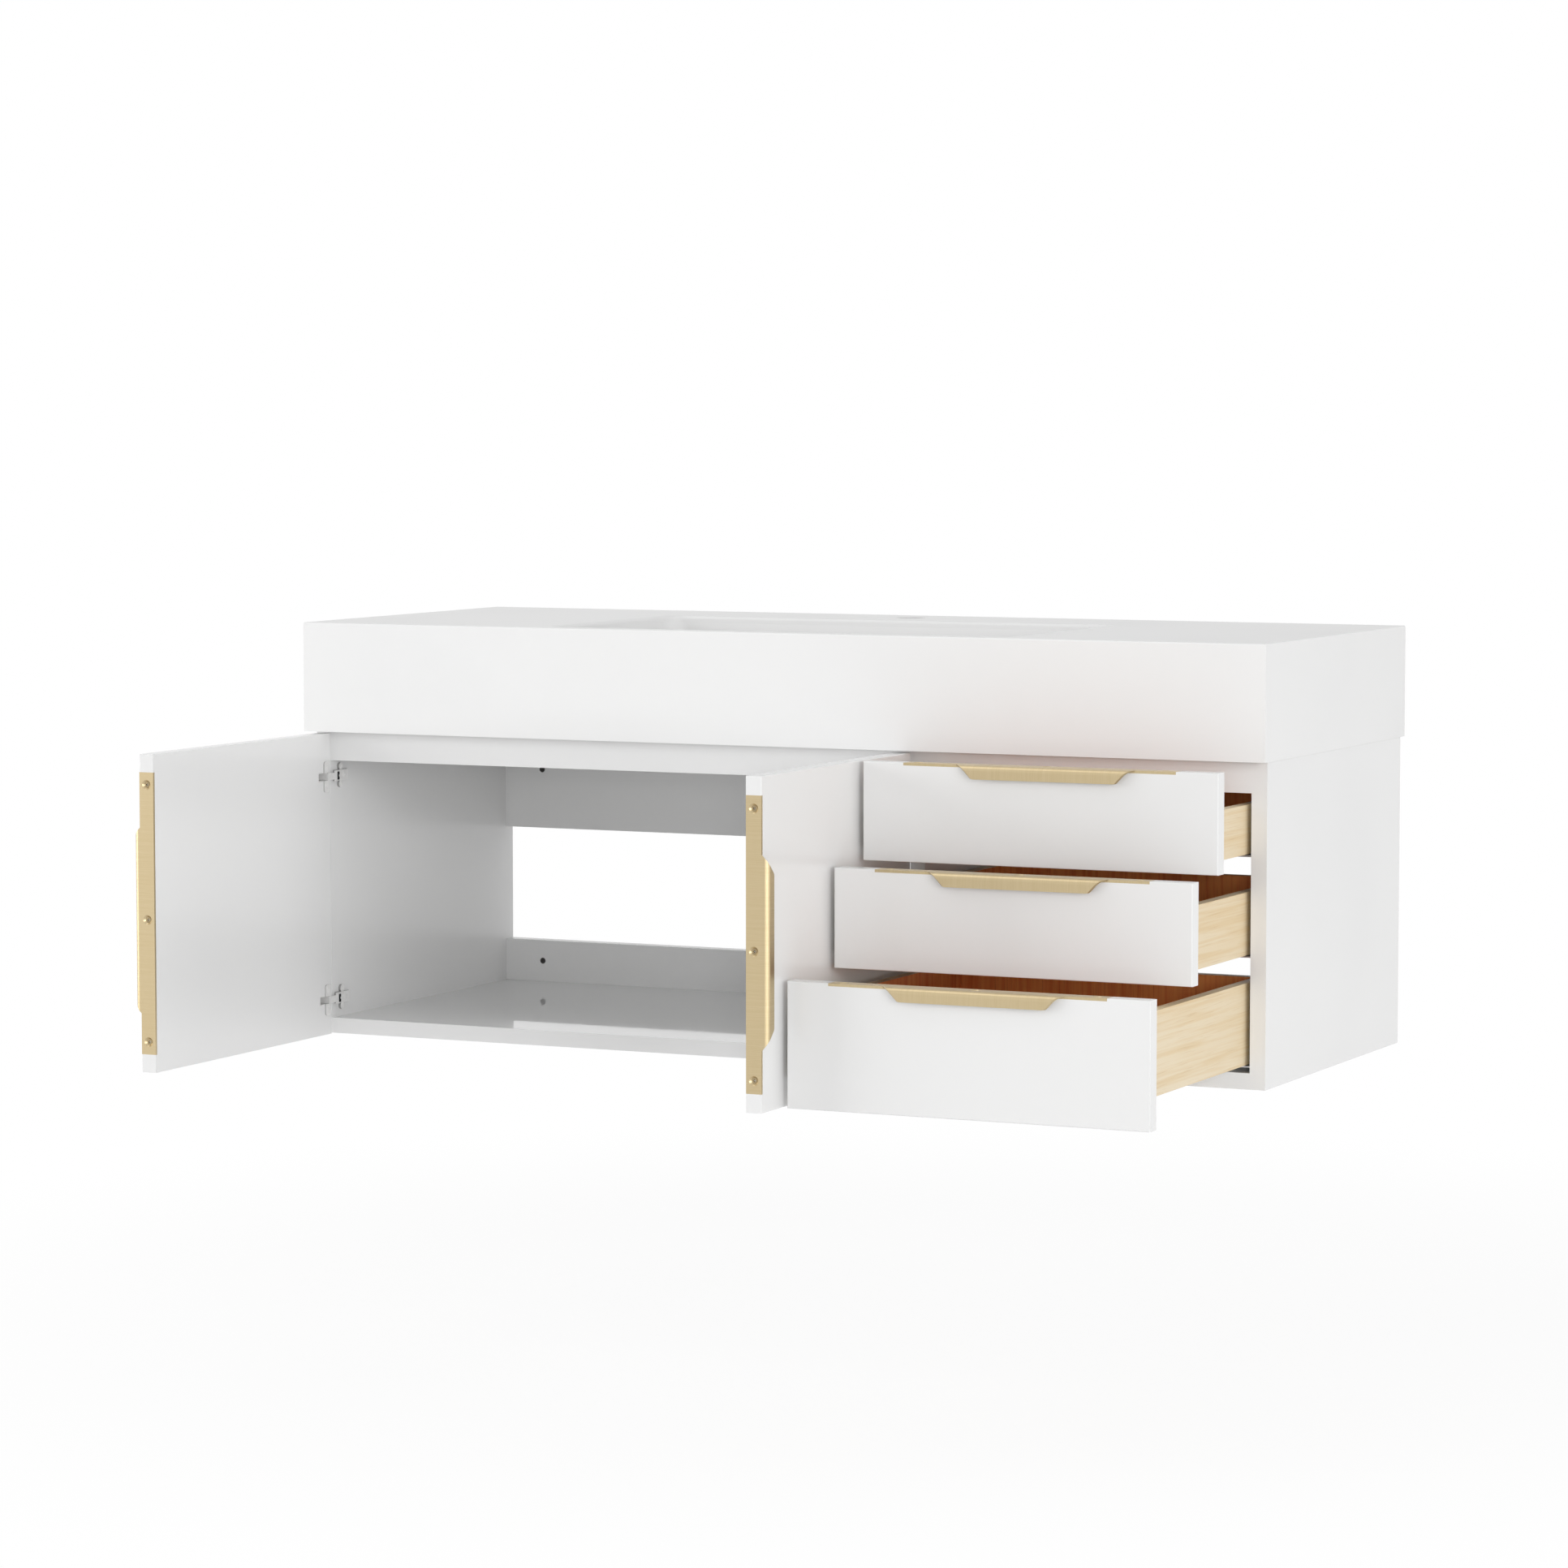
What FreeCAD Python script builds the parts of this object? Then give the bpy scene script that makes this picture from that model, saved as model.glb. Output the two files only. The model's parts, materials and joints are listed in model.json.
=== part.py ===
import FreeCAD, Part
import math
import os

os.makedirs("parts", exist_ok=True)

Vector = FreeCAD.Vector
origin = Vector(0, 0, 0)
along_x = Vector(1, 0, 0)
along_y = Vector(0, 1, 0)
along_z = Vector(0, 0, 1)
quarter_turn = 90.0

# Wall-hung vanity unit. The wall is the plane y = 0, the front faces -y, and the origin is the
# middle of the four wall fixings. Doors and drawers stand open, as in use.

# Overall sizes in millimetres
sink_width = 1200.0
sink_depth = 473.0
sink_height = 128.5
carcass_height = 359.0
side_overhang = 5.0
front_overhang = 21.0
board = 18.0

# Basin cast into the sink top
apron_wall = 16.0
deck_thickness = 18.0
bowl_width = 580.0
bowl_depth = 320.0
bowl_fall = 100.0
bowl_front_rim = 28.0
bowl_wall = 12.0
bowl_collar = 8.0
bowl_draft = 14.0
bowl_cove = 16.0
bowl_corner = 22.0
sink_edge_round = 2.0
bowl_edge_round = 4.0
tap_hole_radius = 17.5
tap_hole_from_wall = 62.0
drain_radius = 23.0

# Carcass rails and wall fixings
front_rail_height = 35.0
upper_rail_height = 147.0
lower_rail_height = 52.0
fixing_from_side = 52.0
fixing_radius = 3.5

# Fronts
top_reveal = 2.5
drawer_front_width = 412.0
door_to_drawer_gap = 3.0
door_meeting_gap = 3.0
drawer_gap = 1.5
bottom_front_height = 136.0
middle_front_height = 109.0
back_gap = 2.4
front_edge_round = 1.2
door_open_angle = 90.0

# Edge pull, let into the edge of a front
pull_length = 316.0
pull_thickness = 3.0
lip_start = 61.0
lip_length = 210.0
lip_thickness = 2.0
lip_proud = 8.0
lip_drop = 15.0
lip_bend = 6.0
lip_corner = 3.0
lip_slant_share = 0.94
pull_hole_end = 14.0
pull_hole_offset = 7.0
pull_hole_radius = 2.2
pull_sink_radius = 5.4

# Concealed hinges: the pin lies in a narrow cup, and a tongue of the arm swings out of it
hinge_from_top = 51.0
hinge_from_bottom = 41.0
pin_from_edge = 8.2
pin_from_face = 4.3
pin_radius = 1.0
pin_clearance = 0.05
arm_thickness = 1.8
arm_width = 12.6
arm_reach = 24.2
arm_rise = 5.0
arm_length = 33.0
arm_crank = 8.0
arm_slot_length = 7.2
arm_slot_width = 9.6
arm_slot_from_front = 4.2
tongue_width = 8.0
cup_wall = 0.8
cup_running_gap = 0.4
cup_clearance = 0.1
flange_thickness = 1.0
flange_width = 12.0
flange_height = 36.4
flange_edge = 2.6
flange_corner = 3.5
plate_thickness = 3.0
plate_width = 13.0
plate_length = 30.0
plate_from_front = 6.0
wing_radius = 4.4
wing_reach = 10.2
wing_from_front = 19.5

# Drawer boxes
box_side = 12.0
box_back_gap = 54.4
box_gap = 6.0
box_bottom = 6.0
box_bottom_rise = 13.0
groove_depth = 5.0
low_box_rise = 26.0
high_box_rise = 9.0
top_box_height = 54.0
middle_box_height = 69.0
bottom_box_height = 90.0
# The bottom drawer's front stays behind the free edge of the open door beside it
bottom_pull_short = 61.0
middle_pull_step = 119.0
top_pull_step = 75.0

# Undermount slides: a rail on the carcass, a middle rail and a rail under the drawer
slide_setback = 12.0
slide_back_gap = 40.0
drawer_rail_short = 20.0
slide_sheet = 1.5
slide_drop = 2.0
slide_width = 20.0
slide_inset = 2.0
slide_flange_height = 22.0
slide_running_gap = 0.6
slide_lip_height = 4.5

# Cuts run past their faces by this much
overrun = 1.0

# Places that follow from the sizes above
carcass_depth = sink_depth - front_overhang
half_carcass = sink_width / 2 - side_overhang
inner_half = half_carcass - board
lower_fixing = board + lower_rail_height / 2
upper_fixing = carcass_height - upper_rail_height / 2
floor_z = -(lower_fixing + upper_fixing) / 2
carcass_top_z = floor_z + carcass_height
sink_top_z = carcass_top_z + sink_height
front_height = carcass_height - top_reveal
front_face_y = -(carcass_depth + back_gap + board)
drawer_edge_x = half_carcass - drawer_front_width
door_edge_x = drawer_edge_x - door_to_drawer_gap
door_width = (door_edge_x + half_carcass - door_meeting_gap) / 2
partition_x = drawer_edge_x - door_to_drawer_gap / 2 - board / 2
fixing_reach = inner_half - fixing_from_side
box_length = carcass_depth + back_gap - box_back_gap
slide_length = carcass_depth - slide_setback - slide_back_gap
drawer_rail_length = box_length - drawer_rail_short
bottom_pull_out = door_width - bottom_pull_short
middle_pull_out = bottom_pull_out - middle_pull_step
top_pull_out = middle_pull_out - top_pull_step
top_front_height = front_height - bottom_front_height - middle_front_height - 2 * drawer_gap


def write(node, *solids):
    shape = solids[0] if len(solids) == 1 else Part.makeCompound(list(solids))
    shape.exportStep("parts/" + node + ".step")


def block(low, high):
    size = high - low
    return Part.makeBox(size.x, size.y, size.z, low)


def edges_on(shape, test):
    return [edge for edge in shape.Edges if test(edge.BoundBox)]


def front_panel(low, high):
    # A lacquered front: the edges round its outer face are slightly rounded.
    plain = block(low, high)
    outer = edges_on(plain, lambda box: box.YMax < low.y + board / 2)
    return plain.makeFillet(front_edge_round, outer)


def rounded_outline(low, high, corner, level):
    # A rectangle with quarter-round corners, flat at the given level.
    pieces = []
    centres = [
        Vector(high.x - corner, high.y - corner, level),
        Vector(low.x + corner, high.y - corner, level),
        Vector(low.x + corner, low.y + corner, level),
        Vector(high.x - corner, low.y + corner, level),
    ]
    for index, centre in enumerate(centres):
        start = quarter_turn * index
        arc = Part.makeCircle(corner, centre, along_z, start, start + quarter_turn)
        pieces.append(arc)
    wire = []
    for index, arc in enumerate(pieces):
        following = pieces[(index + 1) % len(pieces)]
        wire.append(arc)
        wire.append(Part.makeLine(arc.lastVertex().Point, following.firstVertex().Point))
    return Part.Wire(wire)


def bowl_solid(grow, fall):
    # The bowl's hollow, or its outside when grown by the wall: a straight collar at the rim, drafted
    # sides and a coved floor.
    centre_y = -sink_depth + bowl_front_rim + bowl_depth / 2
    half = Vector(bowl_width / 2 + grow, bowl_depth / 2 + grow, 0)
    centre = Vector(0, centre_y, 0)
    steps = [
        (0.0, sink_top_z - bowl_collar),
        (bowl_draft, sink_top_z - fall + bowl_cove),
        (bowl_draft + bowl_cove, sink_top_z - fall),
    ]
    outlines = []
    for inset, level in steps:
        corner = Vector(half.x - inset, half.y - inset, 0)
        outlines.append(rounded_outline(centre - corner, centre + corner, bowl_corner + grow, level))
    collar = Part.Face(outlines[0]).extrude(along_z * bowl_collar)
    return Part.makeLoft(outlines, True, True).fuse(collar)


def sink_top():
    # A box open underneath, with the bowl hanging from its deck.
    low = Vector(-sink_width / 2, -sink_depth, carcass_top_z)
    high = Vector(sink_width / 2, 0, sink_top_z)
    shell = block(low, high)
    # The edges of the deck are rounded, but for the one against the wall.
    exposed = edges_on(
        shell,
        lambda box: box.ZMin > sink_top_z - sink_edge_round and box.YMin < -sink_edge_round,
    )
    shell = shell.makeFillet(sink_edge_round, exposed)
    hollow_low = low + Vector(apron_wall, apron_wall, -overrun)
    hollow_high = high - Vector(apron_wall, apron_wall, deck_thickness)
    shell = shell.cut(block(hollow_low, hollow_high))
    shell = shell.fuse(bowl_solid(bowl_wall, bowl_fall + bowl_wall).common(block(low, high)))
    shell = shell.cut(bowl_solid(0.0, bowl_fall)).removeSplitter()
    inside = Vector(bowl_width / 2, bowl_depth / 2, 0)
    middle_y = -sink_depth + bowl_front_rim + bowl_depth / 2
    rim = edges_on(
        shell,
        lambda box: box.ZMin > sink_top_z - bowl_edge_round / 2
        and abs(box.Center.x) <= inside.x + bowl_edge_round
        and abs(box.Center.y - middle_y) <= inside.y + bowl_edge_round
        and box.XMax < sink_width / 2 - apron_wall
        and box.XMin > -sink_width / 2 + apron_wall,
    )
    shell = shell.makeFillet(bowl_edge_round, rim)
    tap = Part.makeCylinder(
        tap_hole_radius,
        deck_thickness + 2 * overrun,
        Vector(0, -tap_hole_from_wall, sink_top_z - deck_thickness - overrun),
    )
    drain = Part.makeCylinder(
        drain_radius,
        bowl_wall + 2 * overrun,
        Vector(0, middle_y, sink_top_z - bowl_fall - bowl_wall - overrun),
    )
    write("sink_top", shell.cut(tap).cut(drain))


def pull_holes():
    # Countersunk screw holes through the plate of a pull.
    places = (pull_hole_end, pull_length / 2 + pull_hole_offset, pull_length - pull_hole_end)
    depth = pull_thickness + 2 * overrun
    foot = -pull_thickness - overrun
    spread = (pull_sink_radius - pull_hole_radius) * overrun / pull_thickness
    narrow = pull_hole_radius - spread
    wide = pull_sink_radius + spread
    return [Part.makeCone(narrow, wide, depth, Vector(along, board / 2, foot)) for along in places]


def lip_profile():
    # Bent sheet: out of the front, round the bend and down, parallel to the front.
    centre = Vector(0, -(lip_proud - lip_bend), -lip_bend)
    inner_bend = lip_bend - lip_thickness
    diagonal = Vector(0, -math.sin(math.pi / 4), math.cos(math.pi / 4))
    outer_start = centre + Vector(0, 0, lip_bend)
    outer_end = centre + Vector(0, -lip_bend, 0)
    inner_start = centre + Vector(0, 0, inner_bend)
    inner_end = centre + Vector(0, -inner_bend, 0)
    tip_outer = Vector(0, -lip_proud, -lip_drop)
    tip_inner = Vector(0, -lip_proud + lip_thickness, -lip_drop)
    root_low = Vector(0, 0, -lip_thickness)
    edges = [
        Part.makeLine(origin, outer_start),
        Part.Arc(outer_start, centre + diagonal * lip_bend, outer_end).toShape(),
        Part.makeLine(outer_end, tip_outer),
        Part.makeLine(tip_outer, tip_inner),
        Part.makeLine(tip_inner, inner_end),
        Part.Arc(inner_end, centre + diagonal * inner_bend, inner_start).toShape(),
        Part.makeLine(inner_start, root_low),
        Part.makeLine(root_low, origin),
    ]
    return Part.Face(Part.Wire(edges))


def lip_end_cut(start, outward):
    # A wedge that slants the end of the lip, both out of the front and down it.
    reach = lip_proud + overrun
    fall = lip_drop + overrun
    top = overrun
    outer = reach * lip_slant_share
    far = outward * lip_length
    corners = [
        Vector(start, 0, top),
        Vector(start - outward * outer, -reach, top),
        Vector(start + far, -reach, top),
        Vector(start + far, 0, top),
    ]
    face = Part.Face(Part.makePolygon(corners + corners[:1]))
    return face.extrude(Vector(-outward * (fall + top) * lip_slant_share, 0, -(fall + top)))


def edge_pull():
    # Plate let into the edge at y = 0 to board, lip in front of it. Length runs along x.
    plate = block(Vector(0, 0, -pull_thickness), Vector(pull_length, board, 0))
    lip = lip_profile().extrude(along_x * lip_length)
    lip.translate(along_x * lip_start)
    lip = lip.cut(lip_end_cut(lip_start, -1)).cut(lip_end_cut(lip_start + lip_length, 1))
    tip = edges_on(
        lip,
        lambda box: box.ZMax < -lip_drop + lip_thickness / 2 and box.XLength < lip_length / 2,
    )
    lip = lip.makeFillet(lip_corner, [edge for edge in tip if edge.BoundBox.YLength > 0])
    pull = plate.fuse(lip).removeSplitter()
    for hole in pull_holes():
        pull = pull.cut(hole)
    return pull


def pull_pocket():
    return block(
        Vector(0, -overrun, -pull_thickness),
        Vector(pull_length, board + overrun, overrun),
    )


def hinge_levels():
    return (hinge_from_bottom, front_height - hinge_from_top)


def cup_depth():
    return board - pin_from_face + arm_thickness + cup_running_gap + cup_wall


def cup_slot():
    # Corners of the slot for the tongue, drawn with z out of the inner face of the door.
    half = tongue_width / 2 + cup_running_gap
    low = Vector(pin_from_edge - arm_thickness - cup_running_gap, -half, cup_wall - cup_depth())
    high = Vector(arm_reach + arm_thickness / 2 + cup_running_gap, half, flange_thickness + overrun)
    return low, high


def cup_box(grow, top):
    # The outside of the cup, or the pocket for it when grown by the clearance.
    low, high = cup_slot()
    wall = cup_wall + grow
    return block(
        Vector(low.x - wall, low.y - wall, -cup_depth() - grow),
        Vector(high.x + wall, high.y + wall, top),
    )


def flange_outline(level):
    low = Vector(flange_edge, -flange_height / 2, 0)
    high = Vector(flange_edge + flange_width, flange_height / 2, 0)
    return rounded_outline(low, high, flange_corner, level)


def laid_on_door(shape, level):
    # From x-y-z drawn with z out of the inner face to the door: u, v into the room behind, z up.
    placed = shape.copy()
    placed.rotate(origin, along_x, -quarter_turn)
    placed.translate(Vector(0, board, level))
    return placed


def hinge_pin(level):
    # Across the slot, its ends against the cup's walls.
    half = tongue_width / 2 + cup_running_gap
    return Part.makeCylinder(pin_radius, 2 * half, Vector(pin_from_edge, pin_from_face, level - half))


def hinge_cup(level):
    low, high = cup_slot()
    flange = Part.Face(flange_outline(0.0)).extrude(along_z * flange_thickness)
    cup = cup_box(0.0, 0.0).fuse(flange).cut(block(low, high)).removeSplitter()
    return laid_on_door(cup, level)


def front_plane_v():
    return board + back_gap


def bent_strip(points, thickness):
    # A strip bent along a line of points, with mitred corners and square ends.
    runs = [(end - start).normalize() for start, end in zip(points, points[1:])]
    offsets = []
    for index, point in enumerate(points):
        before = runs[max(index - 1, 0)]
        after = runs[min(index, len(runs) - 1)]
        across = along_z.cross(before + after).normalize()
        offsets.append(across * (thickness / 2 / across.dot(along_z.cross(after))))
    outline = [point + offset for point, offset in zip(points, offsets)]
    outline += [point - offset for point, offset in zip(points[::-1], offsets[::-1])]
    return Part.Face(Part.makePolygon(outline + outline[:1]))


def hinge_arm(level, mount_u):
    # Bent strip: a tongue with an eye on the pin comes out of the cup, and the arm runs on from it
    # along the carcass to its plate.
    seat = mount_u + plate_thickness + arm_thickness / 2
    front = front_plane_v()
    tongue_line = [
        Vector(pin_from_edge, pin_from_face, 0),
        Vector(arm_reach, pin_from_face, 0),
        Vector(arm_reach, front + arm_rise / 2, 0),
    ]
    arm_line = [
        Vector(arm_reach, front, 0),
        Vector(arm_reach, front + arm_rise, 0),
        Vector(seat, front + arm_rise + arm_crank, 0),
        Vector(seat, front + arm_length, 0),
    ]
    tongue = bent_strip(tongue_line, arm_thickness).extrude(along_z * tongue_width)
    tongue = tongue.fuse(Part.makeCylinder(arm_thickness, tongue_width, tongue_line[0]))
    bore = Part.makeCylinder(
        pin_radius + pin_clearance, tongue_width + 2 * overrun, tongue_line[0] - along_z * overrun
    )
    tongue = tongue.cut(bore)
    tongue.translate(along_z * (arm_width - tongue_width) / 2)
    arm = tongue.fuse(bent_strip(arm_line, arm_thickness).extrude(along_z * arm_width))
    slot = block(
        Vector(mount_u + plate_thickness - overrun, front + arm_slot_from_front, 0),
        Vector(arm_reach + arm_thickness, front + arm_slot_from_front + arm_slot_length, 0)
        + along_z * arm_slot_width,
    )
    slot.translate(along_z * (arm_width - arm_slot_width) / 2)
    arm = arm.cut(slot).removeSplitter()
    arm.translate(along_z * (level - arm_width / 2))
    return arm


def hinge_plate(level, mount_u):
    # Base under the arm with a round wing above and below it, drawn on the carcass face.
    front = front_plane_v()
    base = block(
        Vector(mount_u, front + plate_from_front, level - plate_width / 2),
        Vector(mount_u + plate_thickness, front + plate_from_front + plate_length, level + plate_width / 2),
    )
    for side in (-1, 1):
        base = base.fuse(
            Part.makeCylinder(
                wing_radius,
                plate_thickness,
                Vector(mount_u, front + wing_from_front, level + side * wing_reach),
                along_x,
            )
        )
    return base.removeSplitter()


def hangings():
    # Each door's name, hand, hinge edge, and the reach from that edge to the face that carries
    # the hinge plates.
    return (
        ("left", 1, -half_carcass, board),
        ("right", -1, door_edge_x, door_edge_x - partition_x),
    )


def hung(shape, hand, edge_x, swung):
    # A door drawn closed with its hinge edge at x = 0 goes to its place, and swings open.
    result = shape.copy() if hand > 0 else shape.mirror(origin, along_x)
    corner = Vector(edge_x, front_face_y, floor_z)
    result.translate(corner)
    if swung:
        axis_place = corner + Vector(hand * pin_from_edge, pin_from_face, 0)
        result.rotate(axis_place, along_z, -hand * door_open_angle)
    return result


def carcass():
    front = -carcass_depth
    bottom_top = floor_z + board
    panels = {}
    for side, name in ((-1, "left_side_panel"), (1, "right_side_panel")):
        near = min(side * inner_half, side * half_carcass)
        low = Vector(near, front, floor_z)
        panels[name] = block(low, low + Vector(board, carcass_depth, carcass_height))
    panels["bottom_panel"] = block(
        Vector(-inner_half, front, floor_z), Vector(inner_half, 0, bottom_top)
    )
    panels["front_top_rail"] = block(
        Vector(-inner_half, front, carcass_top_z - front_rail_height),
        Vector(inner_half, front + board, carcass_top_z),
    )
    # The partition is notched round the front rail and stops at the back rails.
    partition = block(
        Vector(partition_x, front, bottom_top),
        Vector(partition_x + board, -board, carcass_top_z),
    )
    notch = block(
        Vector(partition_x - overrun, front - overrun, carcass_top_z - front_rail_height),
        Vector(partition_x + board + overrun, front + board, carcass_top_z + overrun),
    )
    panels["partition_panel"] = partition.cut(notch)
    back_rails = (
        ("upper_back_rail", carcass_top_z - upper_rail_height, upper_rail_height),
        ("lower_back_rail", bottom_top, lower_rail_height),
    )
    for name, foot, height in back_rails:
        rail = block(Vector(-inner_half, -board, foot), Vector(inner_half, 0, foot + height))
        for side in (-1, 1):
            hole_start = Vector(side * fixing_reach, -board - overrun, foot + height / 2)
            rail = rail.cut(
                Part.makeCylinder(fixing_radius, board + 2 * overrun, hole_start, along_y)
            )
        panels[name] = rail
    for name, panel in panels.items():
        write(name, panel)


def doors():
    pull = edge_pull()
    plate_foot = (front_height - pull_length) / 2

    def on_free_edge(shape):
        # The pull's length runs down the free edge, its lip in front of the outer face.
        placed = shape.copy()
        placed.rotate(origin, along_y, quarter_turn)
        placed.translate(Vector(door_width, 0, plate_foot + pull_length))
        return placed

    panel = front_panel(origin, Vector(door_width, board, front_height))
    panel = panel.cut(on_free_edge(pull_pocket()))
    for level in hinge_levels():
        panel = panel.cut(laid_on_door(cup_box(cup_clearance, overrun), level))
    swinging = {
        "door_panel": [panel],
        "door_handle": [on_free_edge(pull)],
        "hinge_cups": [hinge_cup(level) for level in hinge_levels()],
        "hinge_pins": [hinge_pin(level) for level in hinge_levels()],
    }
    for name, hand, edge_x, mount_u in hangings():
        for piece, solids in swinging.items():
            write(name + "_" + piece, *[hung(solid, hand, edge_x, True) for solid in solids])
        fixed = {
            "hinge_arms": [hinge_arm(level, mount_u) for level in hinge_levels()],
            "hinge_plates": [hinge_plate(level, mount_u) for level in hinge_levels()],
        }
        for piece, solids in fixed.items():
            write(name + "_" + piece, *[hung(solid, hand, edge_x, False) for solid in solids])


def rail_pair(section, start, length):
    # A slide section drawn as reach from the carcass wall and height, run along both walls.
    pair = []
    for wall_x, inward in ((partition_x + board, 1), (inner_half, -1)):
        corners = [Vector(wall_x + inward * reach, start, height) for reach, height in section]
        face = Part.Face(Part.makePolygon(corners + corners[:1]))
        pair.append(face.extrude(along_y * length))
    return pair


def slides(name, box_z, pull_out):
    near = box_gap + box_side + slide_inset
    far = near + slide_width
    web = box_z - slide_drop
    under = box_z + box_bottom_rise
    sheet = slide_sheet
    side_gap = sheet + slide_running_gap
    carcass_rail = [
        (0, web - sheet + slide_flange_height),
        (0, web - sheet),
        (far, web - sheet),
        (far, web + slide_lip_height),
        (far - sheet, web + slide_lip_height),
        (far - sheet, web),
        (near + sheet, web),
        (near + sheet, web + slide_lip_height),
        (near, web + slide_lip_height),
        (near, web),
        (sheet, web),
        (sheet, web - sheet + slide_flange_height),
    ]
    middle_outer = [
        (near + side_gap, web),
        (far - side_gap, web),
        (far - side_gap, under - sheet),
        (near + side_gap, under - sheet),
    ]
    middle_inner = [
        (near + side_gap + sheet, web + sheet),
        (far - side_gap - sheet, web + sheet),
        (far - side_gap - sheet, under - 2 * sheet),
        (near + side_gap + sheet, under - 2 * sheet),
    ]
    drawer_rail = [
        (near, under),
        (near, under - slide_lip_height),
        (near + sheet, under - slide_lip_height),
        (near + sheet, under - sheet),
        (far - sheet, under - sheet),
        (far - sheet, under - slide_lip_height),
        (far, under - slide_lip_height),
        (far, under),
    ]
    start = -carcass_depth + slide_setback
    half_way = start - pull_out / 2
    write(name + "_slide_carcass_rails", *rail_pair(carcass_rail, start, slide_length))
    tubes = [
        outer.cut(inner)
        for outer, inner in zip(
            rail_pair(middle_outer, half_way, slide_length),
            rail_pair(middle_inner, half_way, slide_length),
        )
    ]
    write(name + "_slide_middle_rails", *tubes)
    write(name + "_slide_drawer_rails", *rail_pair(drawer_rail, start - pull_out, drawer_rail_length))


def drawer_box(name, start, box_z, height):
    low_x = partition_x + board + box_gap
    high_x = inner_half - box_gap
    end = start + box_length
    top = box_z + height
    sheet_z = box_z + box_bottom_rise
    groove = box_side - groove_depth
    sheet = block(
        Vector(low_x + groove, start + groove, sheet_z),
        Vector(high_x - groove, end, sheet_z + box_bottom),
    )
    boards = {
        "left_side": block(Vector(low_x, start, box_z), Vector(low_x + box_side, end, top)),
        "right_side": block(Vector(high_x - box_side, start, box_z), Vector(high_x, end, top)),
        "box_front": block(
            Vector(low_x + box_side, start, box_z),
            Vector(high_x - box_side, start + box_side, top),
        ),
    }
    for board_name, shape in boards.items():
        write(name + "_" + board_name, shape.cut(sheet))
    write(name + "_bottom", sheet)
    # The back stands on the bottom sheet, clear of the slides.
    write(
        name + "_back",
        block(
            Vector(low_x + box_side, end - box_side, sheet_z + box_bottom),
            Vector(high_x - box_side, end, top),
        ),
    )


def drawer(name, foot, height, box_rise, box_height, pull_out):
    face_y = front_face_y - pull_out
    foot_z = floor_z + foot
    front = front_panel(
        Vector(drawer_edge_x, face_y, foot_z),
        Vector(half_carcass, face_y + board, foot_z + height),
    )
    pull_place = Vector(
        drawer_edge_x + (drawer_front_width - pull_length) / 2, face_y, foot_z + height
    )

    def on_top_edge(shape):
        placed = shape.copy()
        placed.translate(pull_place)
        return placed

    write(name + "_front", front.cut(on_top_edge(pull_pocket())))
    write(name + "_handle", on_top_edge(edge_pull()))
    drawer_box(name, face_y + board, foot_z + box_rise, box_height)
    slides(name, foot_z + box_rise, pull_out)


def drawers():
    middle_foot = bottom_front_height + drawer_gap
    top_foot = middle_foot + middle_front_height + drawer_gap
    drawer(
        "bottom_drawer", 0, bottom_front_height, low_box_rise, bottom_box_height, bottom_pull_out
    )
    drawer(
        "middle_drawer", middle_foot, middle_front_height, high_box_rise, middle_box_height,
        middle_pull_out,
    )
    drawer("top_drawer", top_foot, top_front_height, high_box_rise, top_box_height, top_pull_out)


sink_top()
carcass()
doors()
drawers()
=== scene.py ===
import json
import math

import bmesh
import bpy
from mathutils import Matrix, Vector


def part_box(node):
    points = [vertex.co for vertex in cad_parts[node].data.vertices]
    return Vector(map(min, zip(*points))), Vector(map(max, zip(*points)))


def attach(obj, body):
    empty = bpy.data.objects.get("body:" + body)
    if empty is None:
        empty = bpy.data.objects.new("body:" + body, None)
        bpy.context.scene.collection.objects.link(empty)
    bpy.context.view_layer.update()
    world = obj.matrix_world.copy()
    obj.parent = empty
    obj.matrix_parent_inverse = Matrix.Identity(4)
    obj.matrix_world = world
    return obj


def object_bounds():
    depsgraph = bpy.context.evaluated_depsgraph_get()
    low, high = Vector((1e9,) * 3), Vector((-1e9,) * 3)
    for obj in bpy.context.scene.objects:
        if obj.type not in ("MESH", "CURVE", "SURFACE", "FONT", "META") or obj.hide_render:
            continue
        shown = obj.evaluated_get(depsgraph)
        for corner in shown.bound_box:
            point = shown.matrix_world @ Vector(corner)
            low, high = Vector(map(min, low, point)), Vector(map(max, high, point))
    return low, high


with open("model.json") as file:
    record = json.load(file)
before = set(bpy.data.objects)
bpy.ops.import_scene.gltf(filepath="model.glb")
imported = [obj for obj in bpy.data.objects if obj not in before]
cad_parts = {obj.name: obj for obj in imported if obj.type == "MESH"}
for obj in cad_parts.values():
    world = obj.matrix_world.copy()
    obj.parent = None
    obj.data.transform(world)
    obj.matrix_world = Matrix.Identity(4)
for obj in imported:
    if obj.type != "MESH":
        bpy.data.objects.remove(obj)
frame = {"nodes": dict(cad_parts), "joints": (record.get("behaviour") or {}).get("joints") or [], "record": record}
cadLow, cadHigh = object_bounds()
nodes = frame["nodes"]
millimetre = 0.001
xAxis, yAxis, zAxis = 0, 1, 2


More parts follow.
